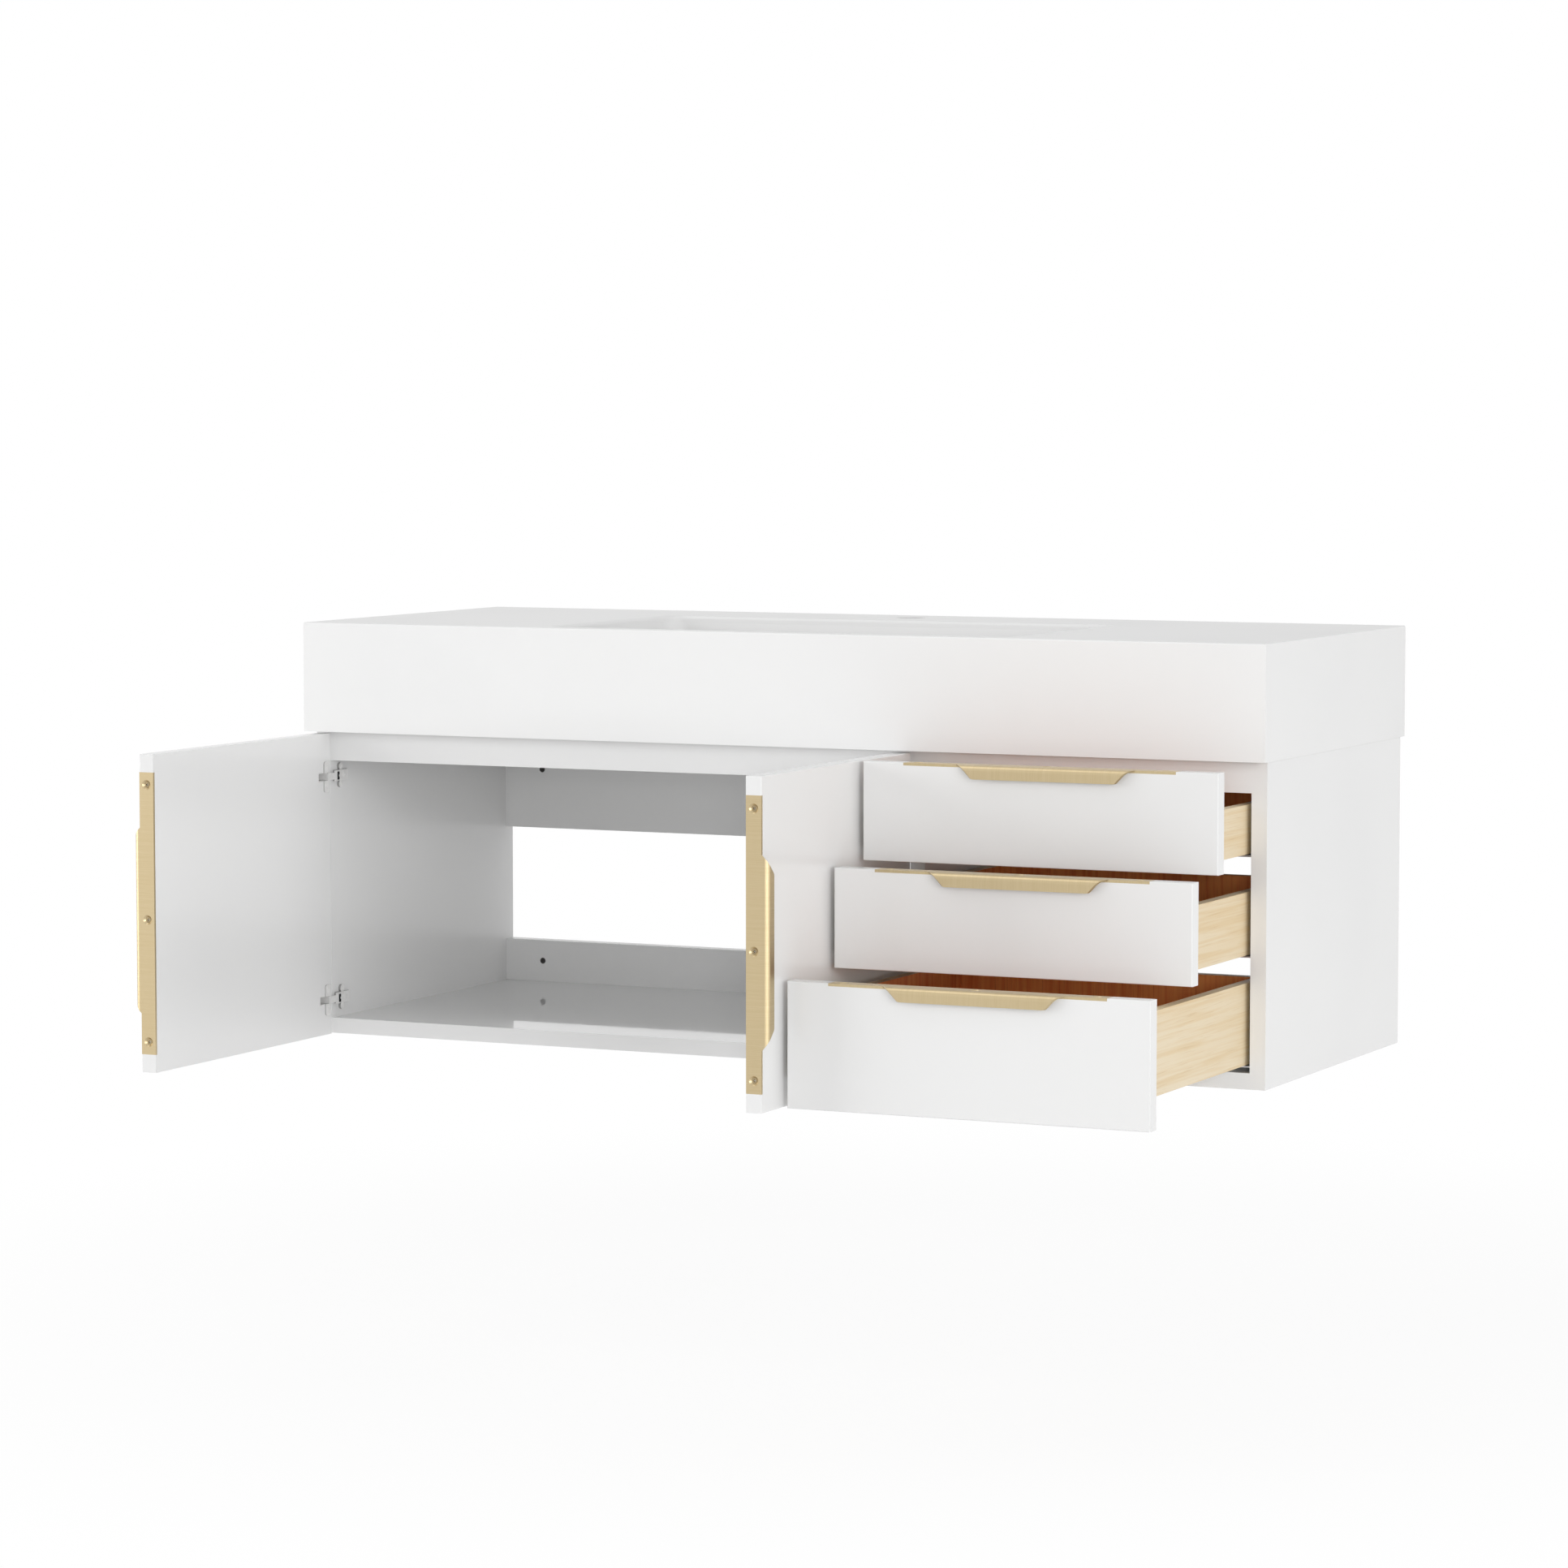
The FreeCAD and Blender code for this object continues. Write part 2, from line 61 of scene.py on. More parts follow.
# a socket that takes part in sums, so that 1 - mask adds a Math node
class Tone:
    def __init__(self, finish, socket):
        self.finish = finish
        self.socket = socket

    def other(self, name):  # another output of the same node
        return Tone(self.finish, self.socket.node.outputs[name])

    def sum(self, operation, first, second):
        return self.finish.node("ShaderNodeMath", {"operation": operation}, {0: first, 1: second})

    def __add__(self, amount):
        return self.sum("ADD", self, amount)

    def __radd__(self, amount):
        return self.sum("ADD", amount, self)

    def __sub__(self, amount):
        return self.sum("SUBTRACT", self, amount)

    def __rsub__(self, amount):
        return self.sum("SUBTRACT", amount, self)

    def __mul__(self, amount):
        return self.sum("MULTIPLY", self, amount)

    def __rmul__(self, amount):
        return self.sum("MULTIPLY", amount, self)

    def __gt__(self, amount):
        return self.sum("GREATER_THAN", self, amount)


# the nodes of one material or of the world
class Finish:
    def __init__(self, owner):
        owner.use_nodes = True
        self.tree = owner.node_tree
        self.tree.nodes.clear()

    def node(self, kind, settings=None, sockets=None, output=0):
        made = self.tree.nodes.new(kind)
        for name, value in (settings or {}).items():
            setattr(made, name, value)
        for key, value in (sockets or {}).items():
            if isinstance(value, Tone):
                self.tree.links.new(value.socket, made.inputs[key])
            else:
                made.inputs[key].default_value = value
        return Tone(self, made.outputs[output]) if len(made.outputs) else None

    def vector(self, operation, first, second=(0, 0, 0), output=0):
        return self.node("ShaderNodeVectorMath", {"operation": operation}, {0: first, 1: second}, output)

    def ramp(self, value, span):  # 0 at the start of the span, 1 at its end, eased between
        return self.node("ShaderNodeMapRange", {"interpolation_type": "SMOOTHSTEP"},
                         {"Value": value, "From Min": span[0], "From Max": span[1]})

    def blend(self, share, first, second):  # sockets 6 and 7 and output 2 are the colours
        return self.node("ShaderNodeMix", {"data_type": "RGBA"}, {0: share, 6: first, 7: second}, 2)

    def place(self):
        return self.node("ShaderNodeTexCoord", None, None, "Object")

    def facing(self):
        return self.node("ShaderNodeTexCoord", None, None, "Normal")

    def grain(self, place, perMetre, detail=3.0, roughness=0.55, warp=0.0):
        return self.node("ShaderNodeTexNoise", None, {
            "Vector": self.vector("MULTIPLY", place, perMetre), "Scale": 1.0, "Detail": detail,
            "Roughness": roughness, "Distortion": warp})

    def relief(self, height, strength, depth):
        return self.node("ShaderNodeBump", None, {"Strength": strength, "Distance": depth, "Height": height})

    def shown(self):  # 1 where the camera looks, also in a mirror or through glass
        rays = self.node("ShaderNodeLightPath", None, None, "Is Camera Ray")
        return rays + rays.other("Is Glossy Ray") + rays.other("Is Transmission Ray") > 0.5

    def surface(self, sockets):
        shader = self.node("ShaderNodeBsdfPrincipled", None, sockets)
        self.node("ShaderNodeOutputMaterial", None, {"Surface": shader})


def newFinish(name):
    material = bpy.data.materials.new(name)
    return material, Finish(material)


def even(perMetre):
    return (perMetre,) * 3


# repeats per metre that differ along one axis
def drawnOut(axis, along, across):
    counts = [across] * 3
    counts[axis] = along
    return counts


# the core colour is bare board made near-black, painted shade for the inside of the fixing holes
lacquer = {
    "white": (0.81, 0.81, 0.808, 1), "shade": (0.785, 0.786, 0.786, 1), "coreShade": (0.12, 0.115, 0.108, 1),
    "bottomRoughness": 0.03, "carcassRoughness": 0.24, "frontRoughness": 0.2, "haze": 0.02, "coreHaze": 0.5,
    "cloudPerMetre": 2.2, "cloudSpan": (0.55, 0.8), "wipePerMetre": 9.0, "wipeSpan": (0.45, 0.75),
    "peelPerMetre": 130.0, "peelStrength": 0.25, "peelDepth": 0.00002, "coreRim": (0.0001, 0.0005)}


def makeLacquer(name, roughness, bored=False):
    material, finish = newFinish(name)
    place = finish.place()
    cloud = finish.grain(place, even(lacquer["cloudPerMetre"]), detail=2.0)
    wipe = finish.grain(place, even(lacquer["wipePerMetre"]), detail=4.0, roughness=0.6, warp=0.4)
    peel = finish.grain(place, even(lacquer["peelPerMetre"]), detail=1.0)
    tone = finish.blend(finish.ramp(cloud, lacquer["cloudSpan"]), lacquer["white"], lacquer["shade"])
    matt = roughness + lacquer["haze"] * finish.ramp(wipe, lacquer["wipeSpan"])
    if bored:
        coreShade = insideFixings(finish, place)
        # painted shade: the holes' walls take the near-black core colour
        tone = finish.blend(coreShade, tone, lacquer["coreShade"])
        matt = matt + lacquer["coreHaze"] * coreShade
    finish.surface({"Base Color": tone, "Roughness": matt,
                    "Normal": finish.relief(peel, lacquer["peelStrength"], lacquer["peelDepth"])})
    return material


# 1 within the four wall fixing holes, where the bare board core shows, made near-black as painted shade inside the
# holes
def insideFixings(finish, place):
    sizes = [mount for mount in frame["record"]["mounts"] if mount["name"] == "wall_fixings"][0]["dims"]
    corner = (sizes["spacing_x_mm"] / 2 * millimetre, 0, sizes["spacing_y_mm"] / 2 * millimetre)
    rim = [sizes["hole_r_mm"] * millimetre + beyond for beyond in lacquer["coreRim"]]
    offset = finish.vector("SUBTRACT", finish.vector("ABSOLUTE", place), corner)
    across = finish.vector("MULTIPLY", offset, (1, 0, 1))
    return 1 - finish.ramp(finish.vector("LENGTH", across, output="Value"), rim)


glaze = {"white": (0.82, 0.82, 0.817, 1), "shade": (0.80, 0.801, 0.80, 1), "roughness": 0.34, "haze": 0.06,
         "cloudPerMetre": 3.0, "cloudSpan": (0.5, 0.8),
         "wavePerMetre": 55.0, "waveStrength": 0.2, "waveDepth": 0.00003}


def makeGlaze():
    material, finish = newFinish("sinkGlaze")
    place = finish.place()
    cloud = finish.grain(place, even(glaze["cloudPerMetre"]))
    wave = finish.grain(place, even(glaze["wavePerMetre"]), detail=2.0)
    tone = finish.blend(finish.ramp(cloud, glaze["cloudSpan"]), glaze["white"], glaze["shade"])
    finish.surface({"Base Color": tone, "Roughness": glaze["roughness"] + glaze["haze"] * cloud,
                    "Normal": finish.relief(wave, glaze["waveStrength"], glaze["waveDepth"])})
    return material


champagne = {"bright": (0.575, 0.468, 0.288, 1), "deep": (0.535, 0.43, 0.258, 1), "roughness": 0.34,
             "spread": 0.07, "brushPerMetre": 1900.0, "brushRun": 26.0, "brushShare": 0.65,
             "bandPerMetre": 240.0, "bandRun": 6.0, "bandShare": 0.35, "markSpan": (0.35, 0.65),
             "scratchStrength": 0.3, "scratchDepth": 0.000012}


# the brush marks run across the pull, so they change fast along its length
def makeChampagne(name, lengthAxis):
    material, finish = newFinish(name)
    place = finish.place()
    brushCounts = drawnOut(lengthAxis, champagne["brushPerMetre"], champagne["brushRun"])
    bandCounts = drawnOut(lengthAxis, champagne["bandPerMetre"], champagne["bandRun"])
    brush = finish.grain(place, brushCounts, detail=2.0, roughness=0.6)
    band = finish.grain(place, bandCounts, detail=2.0)
    mark = finish.ramp(brush * champagne["brushShare"] + band * champagne["bandShare"], champagne["markSpan"])
    finish.surface({"Base Color": finish.blend(mark, champagne["deep"], champagne["bright"]), "Metallic": 1.0,
                    "Roughness": champagne["roughness"] + champagne["spread"] * (1 - mark),
                    "Normal": finish.relief(brush, champagne["scratchStrength"], champagne["scratchDepth"])})
    return material


birch = {"light": (0.79, 0.675, 0.485, 1), "mid": (0.72, 0.545, 0.31, 1), "dark": (0.60, 0.41, 0.2, 1),
         "roughness": 0.42, "streakPerMetre": 190.0, "linePerMetre": 620.0, "runPerMetre": 4.5}
veneer = {"light": (0.79, 0.33, 0.095, 1), "mid": (0.63, 0.17, 0.04, 1), "dark": (0.36, 0.065, 0.016, 1),
          "roughness": 0.42, "streakPerMetre": 210.0, "linePerMetre": 800.0, "runPerMetre": 7.0}
timber = {"streakSpan": (0.4, 0.68), "streakShare": 0.55, "mattSpread": 0.1,
          "lineSpan": (0.58, 0.72), "lineShare": 0.45, "lineRunTimes": 3,
          "figurePerMetre": 18.0, "figureRun": 1.1, "figureSpan": (0.35, 0.7), "figureShare": 0.4,
          "poreStrength": 0.25, "poreDepth": -0.00006, "innerFacing": 0.7}


def woodTone(finish, place, wood, grainAxis):
    streakCounts = drawnOut(grainAxis, wood["runPerMetre"], wood["streakPerMetre"])
    lineCounts = drawnOut(grainAxis, wood["runPerMetre"] * timber["lineRunTimes"], wood["linePerMetre"])
    figureCounts = drawnOut(grainAxis, timber["figureRun"], timber["figurePerMetre"])
    streak = finish.ramp(finish.grain(place, streakCounts, roughness=0.6, warp=0.3), timber["streakSpan"])
    line = finish.ramp(finish.grain(place, lineCounts, detail=2.0), timber["lineSpan"])
    wide = finish.grain(place, figureCounts, detail=2.0, roughness=0.5, warp=1.2)
    figure = finish.ramp(wide, timber["figureSpan"])
    share = streak * timber["streakShare"] + figure * timber["figureShare"]
    tone = finish.blend(share, wood["light"], wood["mid"])
    return finish.blend(line * timber["lineShare"], tone, wood["dark"]), streak, line


# one board of a drawer box: pale birch, with the red veneer on the face that looks into the box
def makeBoard(name, grainAxis, innerGrainAxis, innerSide):
    material, finish = newFinish(name)
    place = finish.place()
    inside = finish.vector("DOT_PRODUCT", finish.facing(), innerSide, "Value") > timber["innerFacing"]
    paleTone, paleStreak, paleLine = woodTone(finish, place, birch, grainAxis)
    redTone, redStreak, redLine = woodTone(finish, place, veneer, innerGrainAxis)
    paleMatt = birch["roughness"] + timber["mattSpread"] * paleStreak
    redMatt = veneer["roughness"] + timber["mattSpread"] * redStreak
    pores = paleLine * (1 - inside) + redLine * inside
    finish.surface({"Base Color": finish.blend(inside, paleTone, redTone),
                    "Roughness": paleMatt * (1 - inside) + redMatt * inside,
                    "Normal": finish.relief(pores, timber["poreStrength"], timber["poreDepth"])})
    return material


nickel = {"bright": (0.89, 0.887, 0.878, 1), "dull": (0.8, 0.796, 0.787, 1), "roughness": 0.3,
          "metallic": 0.27, "flakePerMetre": 260.0, "edge": (0.36, 0.358, 0.352, 1)}
blackOxide = {"bright": (0.05, 0.05, 0.052, 1), "dull": (0.022, 0.022, 0.024, 1), "roughness": 0.34,
              "metallic": 1.0, "flakePerMetre": 300.0}
# the pull screws' bronze is made dark as painted shade for the countersinks they sit in
shadeDarkBronze = {"bright": (0.42, 0.335, 0.2, 1), "dull": (0.3, 0.235, 0.14, 1), "roughness": 0.3,
              "metallic": 1.0, "flakePerMetre": 300.0}
zinc = {"bright": (0.80, 0.81, 0.82, 1), "dull": (0.66, 0.67, 0.68, 1), "roughness": 0.3,
        "metallic": 0.8, "flakePerMetre": 140.0}
plating = {"smearPerMetre": 70.0, "smearShare": 0.7, "flakeShare": 0.3, "toneSpan": (0.25, 0.65),
           "mattSpread": 0.14, "smearStrength": 0.15, "smearDepth": 0.00002, "edgeSpan": (0.3, 0.6)}


def makeSteel(name, steel, shadedEdges=False):
    material, finish = newFinish(name)
    place = finish.place()
    smear = smearOn(finish, place)
    flake = finish.node("ShaderNodeTexVoronoi", None, {"Vector": place, "Scale": steel["flakePerMetre"]},
                        "Distance")
    tone = finish.ramp(smear * plating["smearShare"] + flake * plating["flakeShare"], plating["toneSpan"])
    colour = finish.blend(tone, steel["bright"], steel["dull"])
    if shadedEdges:
        # painted shade: the plate's edges take a dark colour
        colour = finish.blend(paintedEdgeShade(finish), colour, steel["edge"])
    finish.surface({"Base Color": colour, "Metallic": steel["metallic"],
                    "Roughness": steel["roughness"] + plating["mattSpread"] * tone,
                    "Normal": finish.relief(smear, plating["smearStrength"], plating["smearDepth"])})
    return material


def smearOn(finish, place):
    return finish.grain(place, even(plating["smearPerMetre"]), detail=4.0, roughness=0.6)


# 1 on the edges of a stamping whose broad faces look along X, where they are darkened as painted shade lines
def paintedEdgeShade(finish):
    broad = finish.vector("DOT_PRODUCT", finish.vector("ABSOLUTE", finish.facing()), (1, 0, 0), "Value")
    return 1 - finish.ramp(broad, plating["edgeSpan"])


nylon = {"pale": (0.82, 0.82, 0.81, 1), "shade": (0.76, 0.76, 0.75, 1), "roughness": 0.45}
cup = {"toneSpan": (0.3, 0.7), "mattSpread": 0.1, "behindFace": 0.0001}


# a nickelled flange with painted shade along its edges, and a pale moulded cup behind it from the door's inner
# face inwards
def makeCup(name, faceX, inward):
    material, finish = newFinish(name)
    place = finish.place()
    across = finish.node("ShaderNodeSeparateXYZ", None, {"Vector": place}, "X")
    moulded = (faceX - across) * inward > cup["behindFace"]
    smear = smearOn(finish, place)
    tone = finish.ramp(smear, cup["toneSpan"])
    metal = finish.blend(tone, nickel["bright"], nickel["dull"])
    # painted shade: the flange's edges take a dark colour
    metal = finish.blend(paintedEdgeShade(finish), metal, nickel["edge"])
    plastic = finish.blend(tone, nylon["pale"], nylon["shade"])
    matter = nylon["roughness"] - nickel["roughness"]
    finish.surface({"Base Color": finish.blend(moulded, metal, plastic),
                    "Metallic": nickel["metallic"] * (1 - moulded),
                    "Roughness": nickel["roughness"] + matter * moulded + cup["mattSpread"] * tone,
                    "Normal": finish.relief(smear, plating["smearStrength"], plating["smearDepth"])})
    return material


bottomFinish = makeLacquer("bottomLacquer", lacquer["bottomRoughness"])
carcassFinish = makeLacquer("carcassLacquer", lacquer["carcassRoughness"])
railFinish = makeLacquer("railLacquer", lacquer["carcassRoughness"], bored=True)
frontFinish = makeLacquer("frontLacquer", lacquer["frontRoughness"])
glazeFinish = makeGlaze()
drawerPullFinish = makeChampagne("drawerPullMetal", xAxis)
doorPullFinish = makeChampagne("doorPullMetal", zAxis)
nickelFinish = makeSteel("hingeNickel", nickel)
plateFinish = makeSteel("hingePlateNickel", nickel, shadedEdges=True)
cupFinishes = {
    "left_hinge_cups": makeCup("leftCupMoulding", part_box("left_door_panel")[1].x, 1),
    "right_hinge_cups": makeCup("rightCupMoulding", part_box("right_door_panel")[0].x, -1),
}
oxideFinish = makeSteel("adjusterOxide", blackOxide)
pullScrewFinish = makeSteel("pullScrewShadeBronze", shadeDarkBronze)
zincFinish = makeSteel("slideZinc", zinc)
boardFinishes = {
    "_left_side": makeBoard("leftBoardWood", yAxis, zAxis, (1, 0, 0)),
    "_right_side": makeBoard("rightBoardWood", yAxis, zAxis, (-1, 0, 0)),
    "_back": makeBoard("backBoardWood", xAxis, zAxis, (0, -1, 0)),
    "_box_front": makeBoard("frontBoardWood", xAxis, zAxis, (0, 1, 0)),
    "_drawer_bottom": makeBoard("bottomBoardWood", xAxis, xAxis, (0, 0, 1)),
}


def finishFor(name):
    if name == "sink_top":
        return glazeFinish
    if name.endswith("_door_handle"):
        return doorPullFinish
    if name.endswith("_drawer_handle"):
        return drawerPullFinish
    if name in cupFinishes:
        return cupFinishes[name]
    if name.endswith("_hinge_plates"):
        return plateFinish
    if "_hinge_" in name:
        return nickelFinish
    if "_slide_" in name:
        return zincFinish
    if name.endswith("_drawer_front") or name.endswith("_door_panel"):
        return frontFinish
    if "_drawer_" in name:
        return next(finish for ending, finish in boardFinishes.items() if name.endswith(ending))
    if name == "bottom_panel":
        return bottomFinish
    if name.endswith("_back_rail"):
        return railFinish
    return carcassFinish


for name, piece in nodes.items():
    for slot in piece.material_slots:
        slot.material = finishFor(name)
print("finishes: %d materials on the solids" % len(bpy.data.materials))


def addObject(name, data):
    made = bpy.data.objects.new(name, data)
    bpy.context.scene.collection.objects.link(made)
    return made


def meshOf(form, name):
    mesh = bpy.data.meshes.new(name)
    form.to_mesh(mesh)
    form.free()
    return mesh


# a form of revolution about Z, from pairs of radius and height
def turned(profile, segments):
    form = bmesh.new()
    angles = [2 * math.pi * step / segments for step in range(segments)]
    loops = []
    for radius, height in profile:
        if radius == 0:
            loops.append([form.verts.new((0, 0, height))])
        else:
            loops.append([form.verts.new((radius * math.cos(a), radius * math.sin(a), height)) for a in angles])
    for lower, upper in zip(loops, loops[1:]):
        for step in range(segments):
            after = (step + 1) % segments
            ring = [lower[step % len(lower)], lower[after % len(lower)], upper[after % len(upper)],
                    upper[step % len(upper)]]
            form.faces.new(list(dict.fromkeys(ring)))
    bmesh.ops.recalc_face_normals(form, faces=form.faces)
    return form


screw = {"headRadius": 0.0046, "domeHeight": 0.0005, "rimHeight": 0.00018, "rings": 7, "segments": 40,
         "neckDepth": 0.0022, "neckFoot": 0.4, "neckTop": 0.5, "neckRise": 0.4,
         "recessLength": 0.0052, "recessWidth": 0.0012, "recessDepth": 0.0019, "recessTaper": 0.45,
         "turn": 0.3, "sharpDegrees": 32}


def screwBlank():
    radius, neck, rim = screw["headRadius"], screw["neckDepth"], screw["rimHeight"]
    profile = [(0, -neck), (radius * screw["neckFoot"], -neck),
               (radius * screw["neckTop"], -neck * screw["neckRise"]), (radius, 0), (radius, rim)]
    for ring in range(1, screw["rings"] + 1):
        climb = ring / screw["rings"] * math.pi / 2
        height = rim + (screw["domeHeight"] - rim) * math.sin(climb)
        profile.append((radius * math.cos(climb) if ring < screw["rings"] else 0, height))
    return addObject("screwBlank", meshOf(turned(profile, screw["segments"]), "screwBlank"))


# one blade of the cross recess, narrower at its floor
def recessBlade(turn):
    blade = bmesh.new()
    bmesh.ops.create_cube(blade, size=1.0)
    top, floor = screw["domeHeight"] * 2, screw["domeHeight"] - screw["recessDepth"]
    for corner in blade.verts:
        upper = corner.co.z > 0
        length = screw["recessLength"] * (1.0 if upper else screw["recessTaper"])
        corner.co = Vector((corner.co.x * length, corner.co.y * screw["recessWidth"], top if upper else floor))
    bmesh.ops.rotate(blade, verts=blade.verts, matrix=Matrix.Rotation(turn, 3, "Z"))
    bmesh.ops.recalc_face_normals(blade, faces=blade.faces)
    return addObject("recessBlade", meshOf(blade, "recessBlade"))


# a low domed head with a cross recess, its seat at height zero
def screwHead():
    head = screwBlank()
    blades = [recessBlade(turn) for turn in (math.pi / 4, math.pi / 4 + math.pi / 2)]
    for blade in blades:
        cut = head.modifiers.new("recess", "BOOLEAN")
        cut.object = blade
        cut.solver = "EXACT"
    graph = bpy.context.evaluated_depsgraph_get()
    mesh = bpy.data.meshes.new_from_object(head.evaluated_get(graph))
    for spare in [head] + blades:
        bpy.data.objects.remove(spare)
    return mesh


headMesh = screwHead()


def finishPiece(name, form, body, material):
    mesh = meshOf(form, name)
    mesh.materials.append(material)
    mesh.shade_smooth()
    mesh.set_sharp_from_angle(angle=math.radians(screw["sharpDegrees"]))
    piece = addObject(name, mesh)
    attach(piece, body)


def copiesOf(mesh, transforms):
    form = bmesh.new()
    for transform in transforms:
        copy = mesh.copy()
        copy.transform(transform)
        form.from_mesh(copy)
        bpy.data.meshes.remove(copy)
    return form


# several screws as one piece: each place is a point on the seat, and all face the same way
def screwSet(name, body, material, places, facing, size):
    upright = Vector(facing).to_track_quat("Z", "Y").to_matrix().to_4x4()
    transforms = []
    for count, spot in enumerate(places):
        spun = Matrix.Rotation(screw["turn"] * (count + 1), 4, "Z")
        transforms.append(Matrix.Translation(spot) @ upright @ spun @ Matrix.Scale(size, 4))
    finishPiece(name, copiesOf(headMesh, transforms), body, material)


pullScrews = {"pullLength": 316, "along": (14, 165, 302), "sunk": 0.0021, "size": 0.7}
alongShares = [spot / pullScrews["pullLength"] for spot in pullScrews["along"]]

for side in ("left", "right"):
    low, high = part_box(side + "_door_handle")
    doorLow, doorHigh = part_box(side + "_door_panel")
    middle = (doorLow.x + doorHigh.x) / 2
    seat = low.y + pullScrews["sunk"]
    places = [(middle, seat, high.z - share * (high.z - low.z)) for share in alongShares]
    screwSet(side + "_door_pull_screws", side + "_door", pullScrewFinish,
             places, (0, -1, 0), pullScrews["size"])

for level in ("top", "middle", "bottom"):
    low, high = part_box(level + "_drawer_handle")
    frontLow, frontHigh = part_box(level + "_drawer_front")
    middle = (frontLow.y + frontHigh.y) / 2
    seat = high.z - pullScrews["sunk"]
    places = [(low.x + share * (high.x - low.x), middle, seat) for share in alongShares]
    screwSet(level + "_drawer_pull_screws", level + "_drawer", pullScrewFinish,
             places, (0, 0, 1), pullScrews["size"])

adjuster = {"halfLength": 0.0048, "radius": 0.0023, "waist": 0.0016, "segments": 28,
            "endShare": 0.86, "bevelFrom": 0.9, "neckFrom": 0.34, "waistFrom": 0.2}


# a dark barrel for the slot of the arm, waisted where a driver turns it
def adjusterBarrel():
    half, radius, waist = adjuster["halfLength"], adjuster["radius"], adjuster["waist"]
    upper = [(waist, half * adjuster["waistFrom"]), (radius, half * adjuster["neckFrom"]),
             (radius, half * adjuster["bevelFrom"]), (radius * adjuster["endShare"], half), (0, half)]
    lower = [(reach, -height) for reach, height in reversed(upper)]
    return meshOf(turned(lower + upper, adjuster["segments"]), "adjusterBarrel")


barrelMesh = adjusterBarrel()
hingeFittings = {"flangeHalf": 0.0182, "flangeMiddle": 0.006, "flangeScrew": 0.0118, "wingFromFront": 0.0135,
                 "wingScrew": 0.0102, "armThickness": 0.0018, "clampFromEnd": 0.0085, "screwSize": 0.66,
                 "adjusterFromPin": 0.0239, "adjusterReach": {"left": 0.0152, "right": 0.0115}}

for side, inward in (("left", 1), ("right", -1)):
    joint = [entry for entry in frame["joints"] if entry["name"] == side + "_door_hinge"][0]
    pinX, pinY = joint["pos_m"][0], joint["pos_m"][1]
    cupLow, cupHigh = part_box(side + "_hinge_cups")
    plateLow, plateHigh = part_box(side + "_hinge_plates")
    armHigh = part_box(side + "_hinge_arms")[1]
    levels = (cupLow.z + hingeFittings["flangeHalf"], cupHigh.z - hingeFittings["flangeHalf"])
    flangeX = cupHigh.x if inward > 0 else cupLow.x
    plateX = plateHigh.x if inward > 0 else plateLow.x
    flangeY = cupHigh.y - hingeFittings["flangeMiddle"]
    wingY = plateLow.y + hingeFittings["wingFromFront"]
    clampX = plateX + inward * hingeFittings["armThickness"]
    clampY = armHigh.y - hingeFittings["clampFromEnd"]
    barrelX = pinX + inward * hingeFittings["adjusterReach"][side]
    barrelY = pinY + hingeFittings["adjusterFromPin"]
    outward = (inward, 0, 0)
    flangeSpots = [(flangeX, flangeY, z + s * hingeFittings["flangeScrew"]) for z in levels for s in (-1, 1)]
    wingSpots = [(plateX, wingY, z + s * hingeFittings["wingScrew"]) for z in levels for s in (-1, 1)]
    clampSpots = [(clampX, clampY, z) for z in levels]
    barrels = copiesOf(barrelMesh, [Matrix.Translation((barrelX, barrelY, z)) for z in levels])
    screwSet(side + "_hinge_cup_screws", side + "_door", nickelFinish,
             flangeSpots, outward, hingeFittings["screwSize"])
    screwSet(side + "_hinge_plate_screws", "cabinet", nickelFinish,
             wingSpots + clampSpots, outward, hingeFittings["screwSize"])
    finishPiece(side + "_hinge_adjusters", barrels, "cabinet", oxideFinish)
print("fasteners: pull and hinge screws, hinge adjusters")


studioFloor = {"belowTop": 0.85, "reach": 60.0, "cells": 8, "pale": (0.88, 0.88, 0.88, 1), "roughness": 0.5,
               "whiteNear": 0.88, "shadowSpan": (0.7, 1.7)}


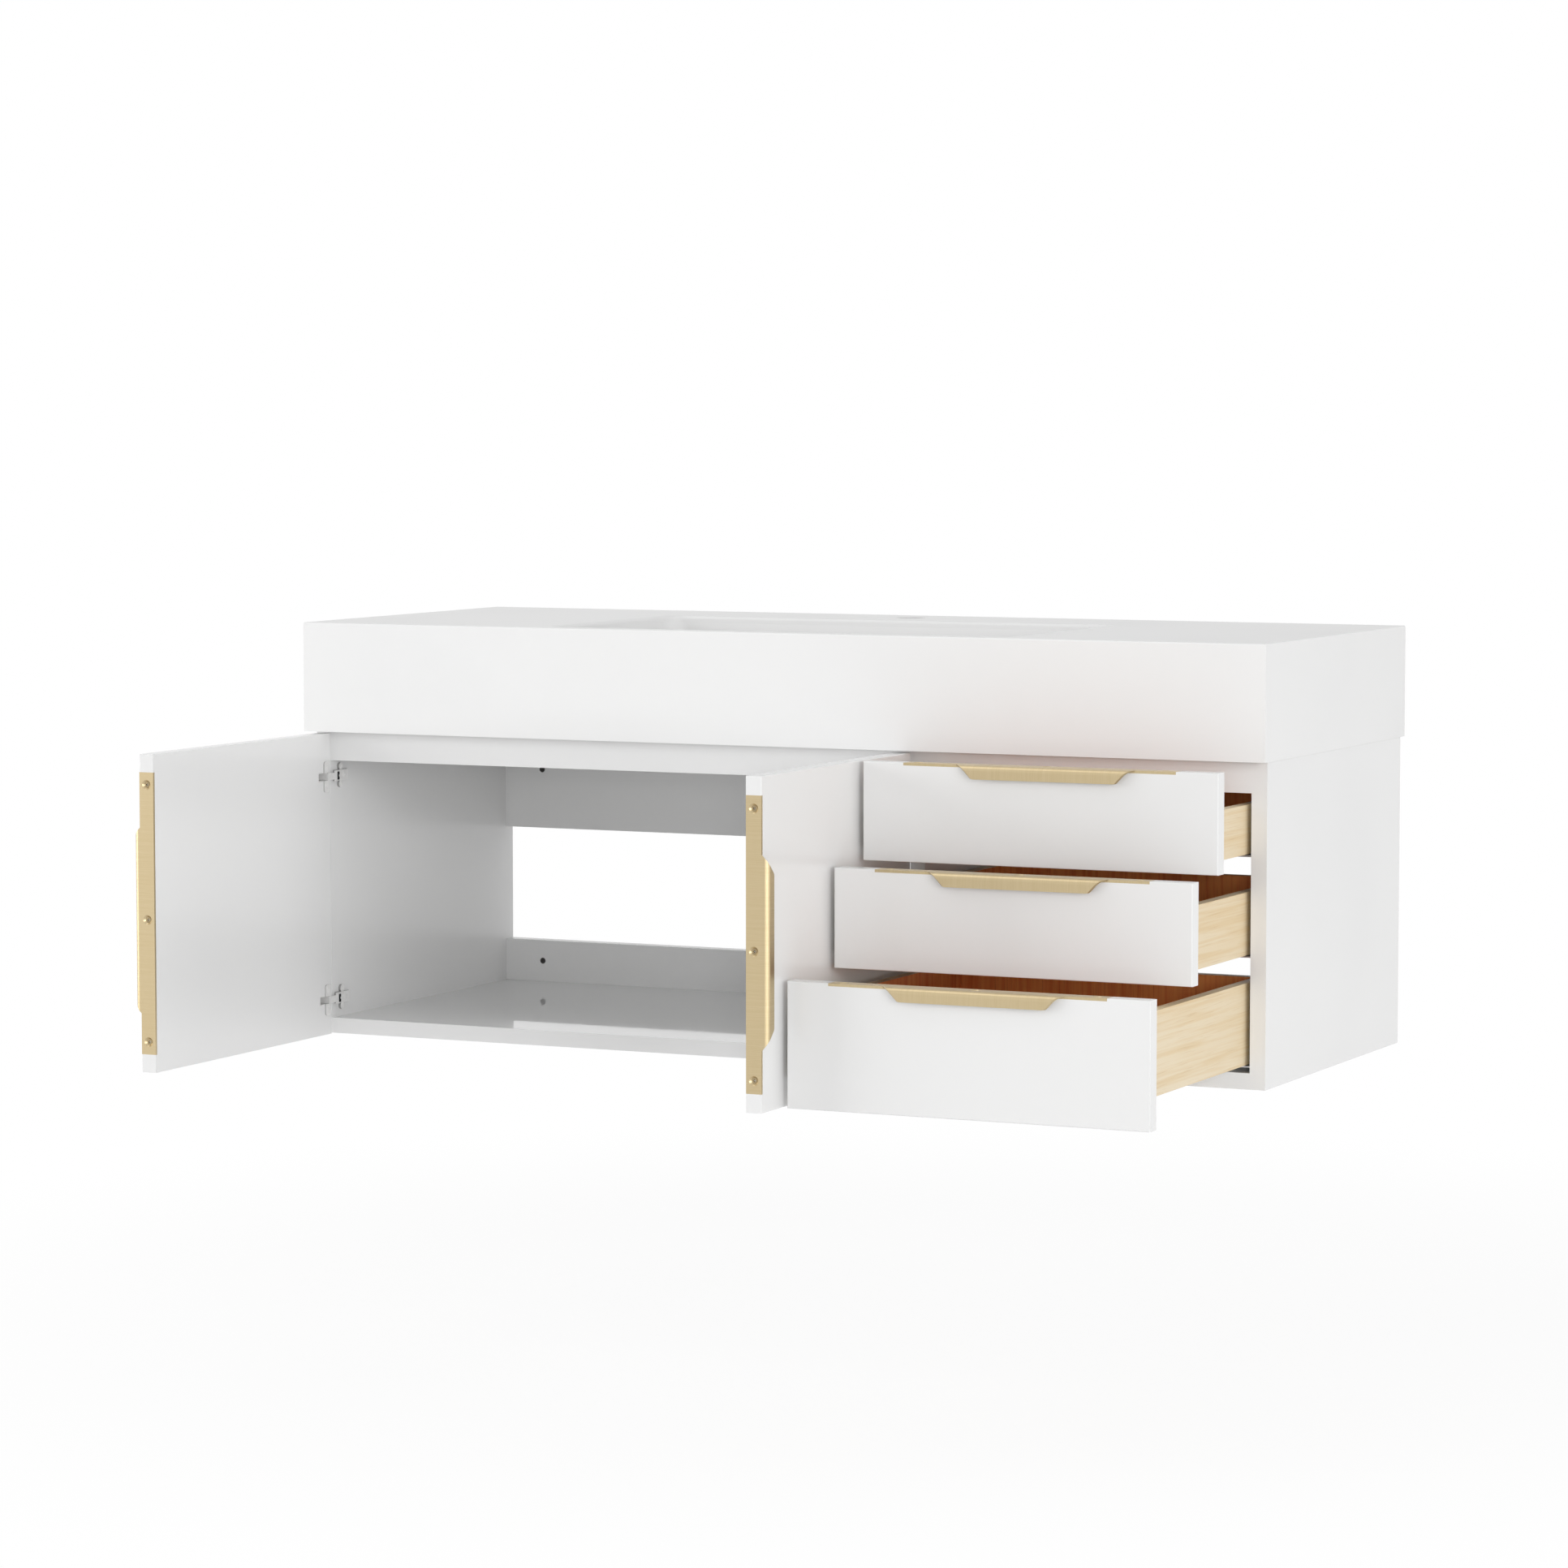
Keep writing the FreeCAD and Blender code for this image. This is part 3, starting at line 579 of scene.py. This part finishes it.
# white to the camera, with a share of the object's shadow kept near it
def makeFloor():
    form = bmesh.new()
    bmesh.ops.create_grid(form, x_segments=studioFloor["cells"], y_segments=studioFloor["cells"],
                          size=studioFloor["reach"])
    floor = addObject("studioFloor", meshOf(form, "studioFloor"))
    floor.location.z = cadHigh.z - studioFloor["belowTop"]
    material, finish = newFinish("paleFloor")
    away = finish.vector("LENGTH", finish.place(), output="Value")
    spread = finish.ramp(away, studioFloor["shadowSpan"])
    share = studioFloor["whiteNear"] + (1 - studioFloor["whiteNear"]) * spread
    matt = finish.node("ShaderNodeBsdfDiffuse", None,
                       {"Color": studioFloor["pale"], "Roughness": studioFloor["roughness"]})
    white = finish.node("ShaderNodeEmission", None, {"Strength": 1.0})
    mixed = finish.node("ShaderNodeMixShader", None, {0: finish.shown() * share, 1: matt, 2: white})
    finish.node("ShaderNodeOutputMaterial", None, {"Surface": mixed})
    floor.data.materials.append(material)


makeFloor()

light = {"dome": 0.58, "lamps": {
    "keySoftbox": {"at": (-6.95, -4.0, 0.9), "size": 4.0, "power": 262.0},
    "frontSoftbox": {"at": (2.765, -6.26, 0.65), "size": 0.7, "power": 46.0},
    "sideSoftbox": {"at": (6.3, -4.92, 0.9), "size": 3.5, "power": 184.0},
    "endSoftbox": {"at": (7.0, -0.4, 0.7), "size": 3.0, "power": 49.0},
    "topSoftbox": {"at": (-1.8, -1.25, 3.6), "size": 2.0, "power": 15.0}}}


# a white dome that lights less than it shows, and soft lamps that aim at the origin
def makeLight():
    world = bpy.data.worlds.new("studio")
    bpy.context.scene.world = world
    finish = Finish(world)
    strength = light["dome"] + (1 - light["dome"]) * finish.shown()
    sky = finish.node("ShaderNodeBackground", None, {"Color": (1, 1, 1, 1), "Strength": strength})
    finish.node("ShaderNodeOutputWorld", None, {"Surface": sky})
    for name, lamp in light["lamps"].items():
        data = bpy.data.lights.new(name, "AREA")
        data.shape = "SQUARE"
        data.size = lamp["size"]
        data.energy = lamp["power"]
        softbox = addObject(name, data)
        softbox.location = lamp["at"]
        softbox.rotation_euler = (-Vector(lamp["at"])).to_track_quat("-Z", "Y").to_euler()
        softbox.visible_camera = False


makeLight()
print("light: dome and %d lamps" % len(light["lamps"]))

view = {"at": (2.4665, -5.6302, 0.59585), "turn": 25.325, "dip": 4.443, "lens": 116.57, "sensor": 36.0}


def makeCamera():
    data = bpy.data.cameras.new("photoCamera")
    data.lens = view["lens"]
    data.sensor_width = view["sensor"]
    camera = addObject("photoCamera", data)
    camera.location = view["at"]
    turn, dip = math.radians(view["turn"]), math.radians(view["dip"])
    ahead = Vector((-math.sin(turn) * math.cos(dip), math.cos(turn) * math.cos(dip), -math.sin(dip)))
    camera.rotation_euler = ahead.to_track_quat("-Z", "Y").to_euler()
    bpy.context.scene.camera = camera


makeCamera()
bpy.context.scene.view_settings.view_transform = "Standard"
